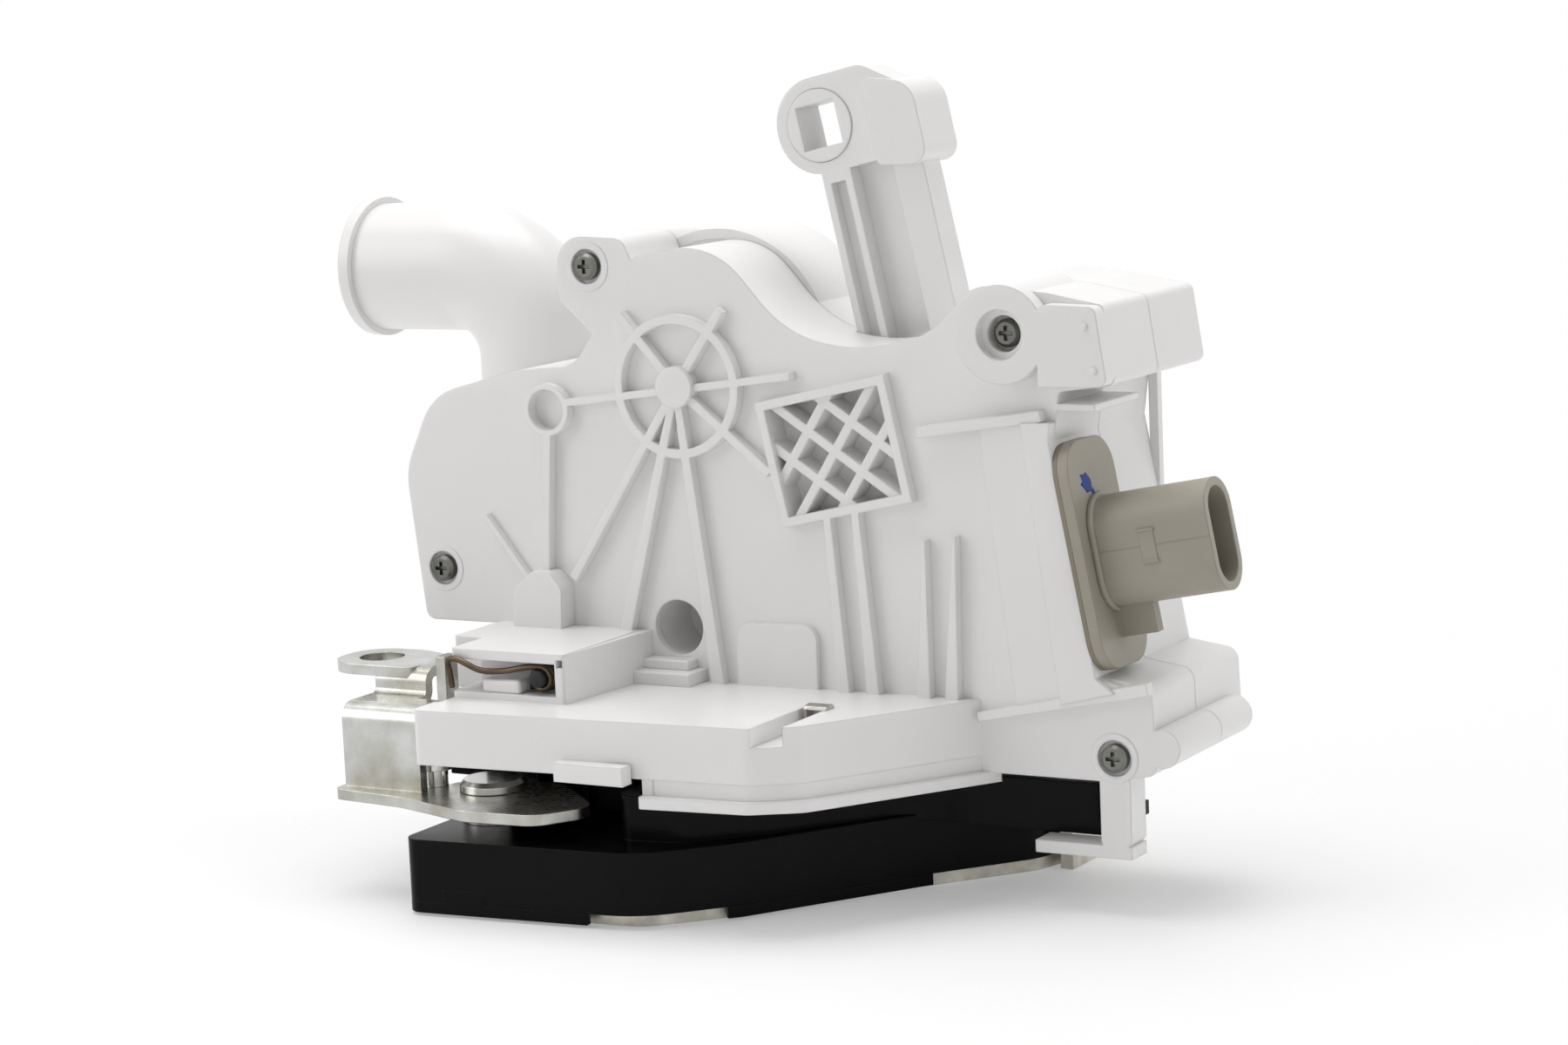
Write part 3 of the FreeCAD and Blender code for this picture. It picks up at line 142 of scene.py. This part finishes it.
def relief(tree, shader, source, height, edge):
    """Fine relief over the surface, and edges rounded to a radius."""
    bevel = tree.nodes.new("ShaderNodeBevel")
    bevel.samples = BEVEL_SAMPLES
    bevel.inputs["Radius"].default_value = edge
    bump = tree.nodes.new("ShaderNodeBump")
    bump.inputs["Distance"].default_value = height
    bump.inputs["Strength"].default_value = BUMP_STRENGTH
    tree.links.new(bevel.outputs["Normal"], bump.inputs["Normal"])
    tree.links.new(source, bump.inputs["Height"])
    tree.links.new(bump.outputs["Normal"], shader.inputs["Normal"])


def tone(colour, factor):
    return tuple(min(1.0, c * factor) for c in colour)


def plastic(name, colour, rough, vary=0.03, grain=2600, height=0.00002, edge=0.0004,
            translucent=0.0, sheen=0.5, index=1.48):
    """Moulded plastic or rubber: cloudy colour, uneven gloss and a fine grain."""
    made, tree, shader = new_material(name)
    cloud = noise(tree, COLOUR_SCALE, 2)
    shades = ramp(tree, cloud, tone(colour, 1 - vary), tone(colour, 1 + vary))
    tree.links.new(shades, shader.inputs["Base Color"])
    fine = noise(tree, grain, 4)
    vary_roughness(tree, shader, noise(tree, ROUGHNESS_SCALE), rough * 0.85, rough * 1.2)
    relief(tree, shader, fine, height, edge)
    shader.inputs["IOR"].default_value = index
    shader.inputs["Subsurface Weight"].default_value = translucent
    shader.inputs["Subsurface Radius"].default_value = SCATTER_COLOUR
    shader.inputs["Subsurface Scale"].default_value = SCATTER_DEPTH
    shader.inputs["Specular IOR Level"].default_value = sheen
    return made


def metal(name, dark, light, rough, stretch=(1, 1, 1), grain=900, height=0.00003, edge=0.00025,
          pure=1.0, patch=130):
    """Metal in patches of two tones, with streaks in its gloss and relief."""
    made, tree, shader = new_material(name)
    shader.inputs["Metallic"].default_value = pure
    blotch = noise(tree, patch, 5)
    tree.links.new(ramp(tree, blotch, dark, light), shader.inputs["Base Color"])
    streak = noise(tree, grain, 5, stretch)
    vary_roughness(tree, shader, streak, rough * 0.75, rough * 1.35)
    relief(tree, shader, streak, height, edge)
    return made


finishes = {
    "white_pom": plastic("white_pom", (0.80, 0.79, 0.785), 0.32, 0.012, grain=700, height=0.0000005,
                         translucent=0.12, edge=0.0005),
    "black_plastic": plastic("black_plastic", (0.0035, 0.0035, 0.004), 0.22, 0.2, height=0.00001, edge=0.0004,
                             sheen=0.2, index=1.3),
    "grey_plastic": plastic("grey_plastic", (0.33, 0.305, 0.25), 0.42, 0.05, grain=1800, height=0.00002),
    "seal_rubber": plastic("seal_rubber", (0.24, 0.21, 0.16), 0.6, 0.08),
    "black_rubber": plastic("black_rubber", (0.015, 0.015, 0.015), 0.7, 0.2),
    "gear_nylon": plastic("gear_nylon", (0.74, 0.71, 0.62), 0.4, 0.04),
    "blue_paint": plastic("blue_paint", (0.008, 0.04, 0.26), 0.4, 0.15, sheen=0.2),
    "zinc_steel": metal("zinc_steel", (0.36, 0.345, 0.29), (0.60, 0.61, 0.60), 0.27, (1, 3, 1), grain=500,
                        height=0.00001, patch=110),
    "worn_zinc": metal("worn_zinc", (0.44, 0.42, 0.36), (0.76, 0.73, 0.64), 0.40, (1, 1, 1), grain=500,
                       height=0.0001, pure=0.7, patch=240),
    "hard_steel": metal("hard_steel", (0.50, 0.49, 0.47), (0.68, 0.67, 0.65), 0.22, height=0.00001),
    "spring_wire": metal("spring_wire", (0.05, 0.038, 0.026), (0.15, 0.11, 0.075), 0.34),
    "screw_steel": metal("screw_steel", (0.08, 0.08, 0.075), (0.22, 0.22, 0.20), 0.36),
    "contact_metal": metal("contact_metal", (0.66, 0.55, 0.32), (0.78, 0.66, 0.42), 0.25),
    "motor_steel": metal("motor_steel", (0.60, 0.60, 0.60), (0.70, 0.70, 0.69), 0.2, (6, 1, 1)),
}


def dress_nodes():
    """Every CAD node in the record gets the material of its slot, except the base plate, which gets worn
    zinc.
    """
    for row in frame["record"]["subparts"]:
        node = nodes[row["node"]]
        node.data.materials.clear()
        finish = "worn_zinc" if row["node"] == "base_plate" else row["material_slot"]
        node.data.materials.append(finishes[finish])


# Detail pieces over the solids, drawn in millimetres
PLUG_SEAT = Vector((55.8, -24.0, 62.8))
PLUG_TILT = math.radians(10.5)
FLANGE_FACE = 3.0
SHROUD_FRONT = -5.5
WALL_FACE = -30.0
LEDGE_TOP = 37.0
OVERLAP = 0.1         # how far a piece reaches into what carries it
SHARP_ANGLE = math.radians(40)
in_plug = Matrix.Translation(PLUG_SEAT) @ Matrix.Rotation(-PLUG_TILT, 4, "Y")

# A slab's place in space, from its outline's two values and its height
SLAB_SPOT = {
    "Z": lambda u, v, w: (u, v, w),
    "X": lambda u, v, w: (w, u, v),
    "Y": lambda u, v, w: (u, w, v),
}


def piece_of(name, form, finish, edge, place=Matrix.Identity(4)):
    """Object from a bmesh in millimetres, with its edges rounded, riding on the lock's body."""
    bmesh.ops.transform(form, matrix=Matrix.Scale(MM, 4) @ place, verts=form.verts)
    bmesh.ops.recalc_face_normals(form, faces=form.faces)
    mesh = bpy.data.meshes.new(name)
    form.to_mesh(mesh)
    form.free()
    mesh.materials.append(finishes[finish])
    mesh.shade_smooth()
    piece = bpy.data.objects.new(name, mesh)
    bpy.context.scene.collection.objects.link(piece)
    bevel = piece.modifiers.new("rounded", "BEVEL")
    bevel.width = edge * MM
    bevel.segments = 3
    bevel.angle_limit = SHARP_ANGLE
    bevel.harden_normals = True
    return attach(piece, "lock_body")


def slab(form, outline, low, high, axis="Z"):
    """Prism: its outline in X, Y along Z, or in Y, Z along X, or in X, Z along Y."""
    spot = SLAB_SPOT[axis]
    lower = [form.verts.new(spot(u, v, low)) for u, v in outline]
    upper = [form.verts.new(spot(u, v, high)) for u, v in outline]
    form.faces.new(lower)
    form.faces.new(upper)
    count = len(outline)
    for i in range(count):
        j = (i + 1) % count
        form.faces.new((lower[i], lower[j], upper[j], upper[i]))


def block(form, x0, x1, y0, y1, z0, z1):
    slab(form, ((x0, y0), (x1, y0), (x1, y1), (x0, y1)), z0, z1)


def turned(form, profile, centre, steps=64):
    """Closed ring about a line along Y, from (radius, y) corners. Radius 0 closes an end."""
    x, z = centre
    rows = []
    for r, y in profile:
        if r == 0:
            rows.append([form.verts.new((x, y, z))] * steps)
            continue
        angles = [2 * math.pi * i / steps for i in range(steps)]
        rows.append([form.verts.new((x + r * math.cos(a), y, z + r * math.sin(a))) for a in angles])
    for here, after in zip(rows, rows[1:] + rows[:1]):
        for i in range(steps):
            j = (i + 1) % steps
            corners = dict.fromkeys((here[i], here[j], after[j], after[i]))
            if len(corners) > 2:
                form.faces.new(tuple(corners))


def arc(cx, cy, r, start, end, steps):
    """Points on a circle from one angle to another, in degrees."""
    angles = [math.radians(start + (end - start) * i / steps) for i in range(steps + 1)]
    return [(cx + r * math.cos(a), cy + r * math.sin(a)) for a in angles]


def oblong(half_width, half_height):
    """Outline with two half circles at its ends, in Y, Z."""
    straight = half_height - half_width
    return arc(0, straight, half_width, 0, 180, 14) + arc(0, -straight, half_width, 180, 360, 14)


def port_details():
    """Blind tube behind the wall's round port, and the steps and slanted side in front of it."""
    centre, r, wall, end = (-25.1, 46.7), 5.15, 1.2, -16.0
    in_wall, on_ledge = WALL_FACE + OVERLAP, LEDGE_TOP - OVERLAP
    tube = bmesh.new()
    turned(tube, ((r, WALL_FACE + 1.95), (r + wall, WALL_FACE + 2.05), (r + wall, end), (0, end),
                  (0, end - wall), (r, end - wall)), centre)
    piece_of("port_tube", tube, "white_pom", 0.15)
    side = bmesh.new()
    slab(side, ((-33.2, -56.8), (-33.0, -57.0), (-31.0, -31.2), (-31.0, in_wall), (-33.2, in_wall)),
         on_ledge, 45.9)
    piece_of("step_side", side, "white_pom", 0.3)
    terrace = bmesh.new()
    block(terrace, -31.6, -19.6, -36.5, in_wall, on_ledge, 39.4)
    block(terrace, -31.6, -21.5, -33.4, in_wall, 39.3, 41.2)
    piece_of("port_terrace", terrace, "white_pom", 0.3)


def plug_details():
    """Collar, seam, detent and paint dab of the plug socket."""
    collar = bmesh.new()
    slab(collar, oblong(6.3, 10.6), FLANGE_FACE - OVERLAP, FLANGE_FACE + 1.1, "X")
    piece_of("plug_collar", collar, "grey_plastic", 0.5, in_plug)
    seam = bmesh.new()
    block(seam, FLANGE_FACE + 1.0, FLANGE_FACE + 21.8, SHROUD_FRONT - 0.06, SHROUD_FRONT + 0.3, 0.34, 0.5)
    piece_of("plug_seam", seam, "grey_plastic", 0.03, in_plug)
    detent = bmesh.new()
    for x0, x1, height, z0, z1 in ((11.7, 15.0, 0.35, 2.9, 3.4), (11.7, 15.0, 0.35, -2.6, -2.1),
                                   (11.9, 14.8, 0.15, -2.3, 3.1)):
        block(detent, x0, x1, SHROUD_FRONT - height, SHROUD_FRONT + 0.2, z0, z1)
    piece_of("plug_detent", detent, "grey_plastic", 0.12, in_plug)
    dab = bmesh.new()
    slab(dab, ((-4.9, 14.2), (-3.6, 14.0), (-2.6, 14.3), (-1.6, 13.4), (-1.1, 12.6), (-1.2, 11.6),
               (-0.4, 10.9), (-0.9, 10.0), (-1.4, 10.7), (-2.0, 10.9), (-3.4, 10.8), (-4.2, 11.7),
               (-5.3, 12.5), (-4.3, 12.9)),
         FLANGE_FACE - 0.02, FLANGE_FACE + 0.07, "X")
    piece_of("paint_dab", dab, "blue_paint", 0.04, in_plug)


def spring_details():
    """Wire spring in the step's pocket, with an arm in front that hooks beside the lever's ear."""
    axis_x, axis_z, r, wire = -39.2, 41.2, 2.1, 0.56
    front, back, turns, steps = -55.5, -52.6, 2.5, 16
    path = [(-57.9, -56.3, 38.6), (-57.95, -56.7, 41.4), (-57.9, -57.6, 43.9), (-56.0, -57.9, 44.5),
            (-53.8, -57.8, 43.6), (-51.0, -57.0, 42.0), (-46.0, -55.9, 42.2), (-42.0, -55.6, 43.2)]
    count = int(turns * steps)
    for i in range(count + 1):
        angle = math.radians(90 - 360 * i / steps)
        y = front + (back - front) * i / count
        path.append((axis_x + r * math.cos(angle), y, axis_z + r * math.sin(angle)))
    path += [(axis_x - 1.8, back, axis_z - 2.2), (axis_x - 5.0, back, axis_z - 2.3)]
    curve = bpy.data.curves.new("spring_wire_piece", "CURVE")
    curve.dimensions = "3D"
    curve.bevel_depth = wire * MM
    curve.bevel_resolution = 4
    curve.resolution_u = 4
    curve.use_fill_caps = True
    spline = curve.splines.new("NURBS")
    spline.points.add(len(path) - 1)
    for point, spot in zip(spline.points, path):
        point.co = (*(Vector(spot) * MM), 1)
    spline.order_u = 3
    spline.use_endpoint_u = True
    curve.materials.append(finishes["spring_wire"])
    piece = bpy.data.objects.new("spring_wire_piece", curve)
    bpy.context.scene.collection.objects.link(piece)
    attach(piece, "lock_body")
    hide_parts("lever_spring")
    cap = bmesh.new()
    turned(cap, ((0, -56.9), (1.2, -56.9), (1.58, -56.6), (1.58, -54.0), (0, -54.0)),
           (axis_x, axis_z), 32)
    piece_of("spring_cap", cap, "black_rubber", 0.1)
    seat = bmesh.new()
    block(seat, -51.2, -43.0, -56.6, -47.6, 38.1, 40.7)
    piece_of("spring_seat", seat, "white_pom", 0.7)


def ledge_details():
    """Spring clip that shows in the ledge's groove."""
    clip = bmesh.new()
    block(clip, 10.3, 13.4, -47.6, -44.2, 33.7, 34.1)
    block(clip, 10.3, 11.0, -47.6, -44.2, 34.0, 37.3)
    slab(clip, ((-47.6, 37.0), (-44.2, 37.0), (-44.6, 37.7), (-45.6, 37.9), (-47.2, 37.6)), 10.3, 14.8, "X")
    piece_of("groove_clip", clip, "zinc_steel", 0.12)


def latch_details():
    """Black web with a stop block under the ledge's left part, and the skirt over the plate."""
    web = bmesh.new()
    slab(web, ((-60.5, -43.5), (-57.5, -43.5), (-55.5, -41.0), (-22.2, -41.0), (-22.2, -38.0),
               (-60.5, -38.0)), 13.7, 26.7)
    for x in (-50.0, -40.0, -30.0):
        block(web, x, x + 1.4, -42.6, -40.9, 13.7, 24.0)
    block(web, -66.4, -57.6, -46.4, -43.2, 19.8, 21.4)
    block(web, -63.0, -57.6, -46.0, -43.2, 21.3, 22.9)
    piece_of("latch_web", web, "black_plastic", 0.3)
    skirt = bmesh.new()
    low, high = 0.35, 2.55
    corner = (-57.0, -68.73)
    outer, inner = arc(*corner, 3.03, 190, 274.9, 6), arc(*corner, 1.6, 274.9, 190, 6)
    slab(skirt, outer + [(-23.0, -68.88), (-23.1, -67.5)] + inner, low, high)
    slab(skirt, ((-52.1, -71.36), (-43.4, -70.62), (-43.4, -70.3), (-52.1, -70.3)), high - OVERLAP, 5.05)
    slab(skirt, ((-1.8, -55.95), (0.05, -54.0), (20.55, -23.5), (21.5, -22.3), (20.4, -21.5),
                 (19.4, -22.8), (-1.0, -53.2), (-2.8, -55.0)), low, high)
    piece_of("latch_skirt", skirt, "black_plastic", 0.15)


def cover_details():
    """Rim that closes the rear bump's front, and two small pins on the right lug."""
    rim = bmesh.new()
    bump = (-24.0, 95.5)
    slab(rim, arc(*bump, 22.7, 48, 128, 20) + arc(*bump, 19.4, 128, 48, 20), -11.85, -10.9, "Y")
    piece_of("bump_rim", rim, "white_pom", 0.1)
    tip, foot = WALL_FACE - 3.9, WALL_FACE - 3.4
    for number, centre in ((1, (60.0, 103.2)), (2, (61.5, 95.8))):
        pin = bmesh.new()
        turned(pin, ((0, tip), (0.55, tip), (0.75, foot), (0, foot)), centre, 24)
        piece_of("lug_pin_%d" % number, pin, "white_pom", 0.1)


# Floor, lights and background
FLOOR_SIZE = 6.0
FLOOR_GAP = 0.0002
SHADOW_REACH = (0.08, 0.30)      # distances over which the floor fades into the background
NEAR_GLOW = 0.30
WORLD_LIGHT = 0.35
LAMPS = (
    ("top", (-0.15, 0.05, 0.95), (0.9, 0.7), 7.0),
    ("left", (-0.70, -0.60, 0.45), (0.5, 0.6), 2.3),
    ("right", (0.80, 0.10, 0.45), (0.4, 0.6), 1.6),
)


def seen_directly(tree):
    """1 for camera rays and for what metal and clear pieces show, 0 for light on the object."""
    path = tree.nodes.new("ShaderNodeLightPath")
    total = path.outputs["Is Camera Ray"]
    for ray in ("Is Glossy Ray", "Is Transmission Ray"):
        either = tree.nodes.new("ShaderNodeMath")
        either.operation = "MAXIMUM"
        tree.links.new(total, either.inputs[0])
        tree.links.new(path.outputs[ray], either.inputs[1])
        total = either.outputs["Value"]
    return total


def make_stage():
    lowest = cad_box[0][2]
    bpy.ops.mesh.primitive_plane_add(size=FLOOR_SIZE, location=(0, 0, lowest - FLOOR_GAP))
    floor = bpy.context.object
    floor.name = "floor"
    made, tree, shader = new_material("floor")
    shader.inputs["Base Color"].default_value = (0.9, 0.9, 0.9, 1)
    shader.inputs["Roughness"].default_value = 0.7
    glow = tree.nodes.new("ShaderNodeEmission")
    place = tree.nodes.new("ShaderNodeTexCoord")
    away = tree.nodes.new("ShaderNodeVectorMath")
    away.operation = "LENGTH"
    share = tree.nodes.new("ShaderNodeMath")
    share.operation = "MULTIPLY"
    blend = tree.nodes.new("ShaderNodeMixShader")
    tree.links.new(place.outputs["Object"], away.inputs[0])
    tree.links.new(remap(tree, away.outputs["Value"], SHADOW_REACH, NEAR_GLOW, 1.0), share.inputs[1])
    tree.links.new(seen_directly(tree), share.inputs[0])
    tree.links.new(share.outputs["Value"], blend.inputs["Fac"])
    tree.links.new(shader.outputs["BSDF"], blend.inputs[1])
    tree.links.new(glow.outputs["Emission"], blend.inputs[2])
    tree.links.new(blend.outputs["Shader"], tree.nodes["Material Output"].inputs["Surface"])
    floor.data.materials.append(made)


def make_world():
    world = bpy.data.worlds.new("studio")
    bpy.context.scene.world = world
    world.use_nodes = True
    tree = world.node_tree
    background = tree.nodes["Background"]
    level = remap(tree, seen_directly(tree), (0.0, 1.0), WORLD_LIGHT, 1.0)
    tree.links.new(level, background.inputs["Strength"])
    background.inputs["Color"].default_value = (1, 1, 1, 1)


def soft_lamp(name, place, size, power):
    lamp = bpy.data.objects.new(name, bpy.data.lights.new(name, "AREA"))
    bpy.context.scene.collection.objects.link(lamp)
    lamp.data.shape = "RECTANGLE"
    lamp.data.size, lamp.data.size_y = size
    lamp.data.energy = power
    lamp.location = place
    lamp.rotation_euler = (AIM - Vector(place)).to_track_quat("-Z", "Y").to_euler()


make_camera()
dress_nodes()
port_details()
plug_details()
spring_details()
ledge_details()
latch_details()
cover_details()
make_stage()
make_world()
for lamp in LAMPS:
    soft_lamp(*lamp)

scene = bpy.context.scene
scene.view_settings.view_transform = "Standard"
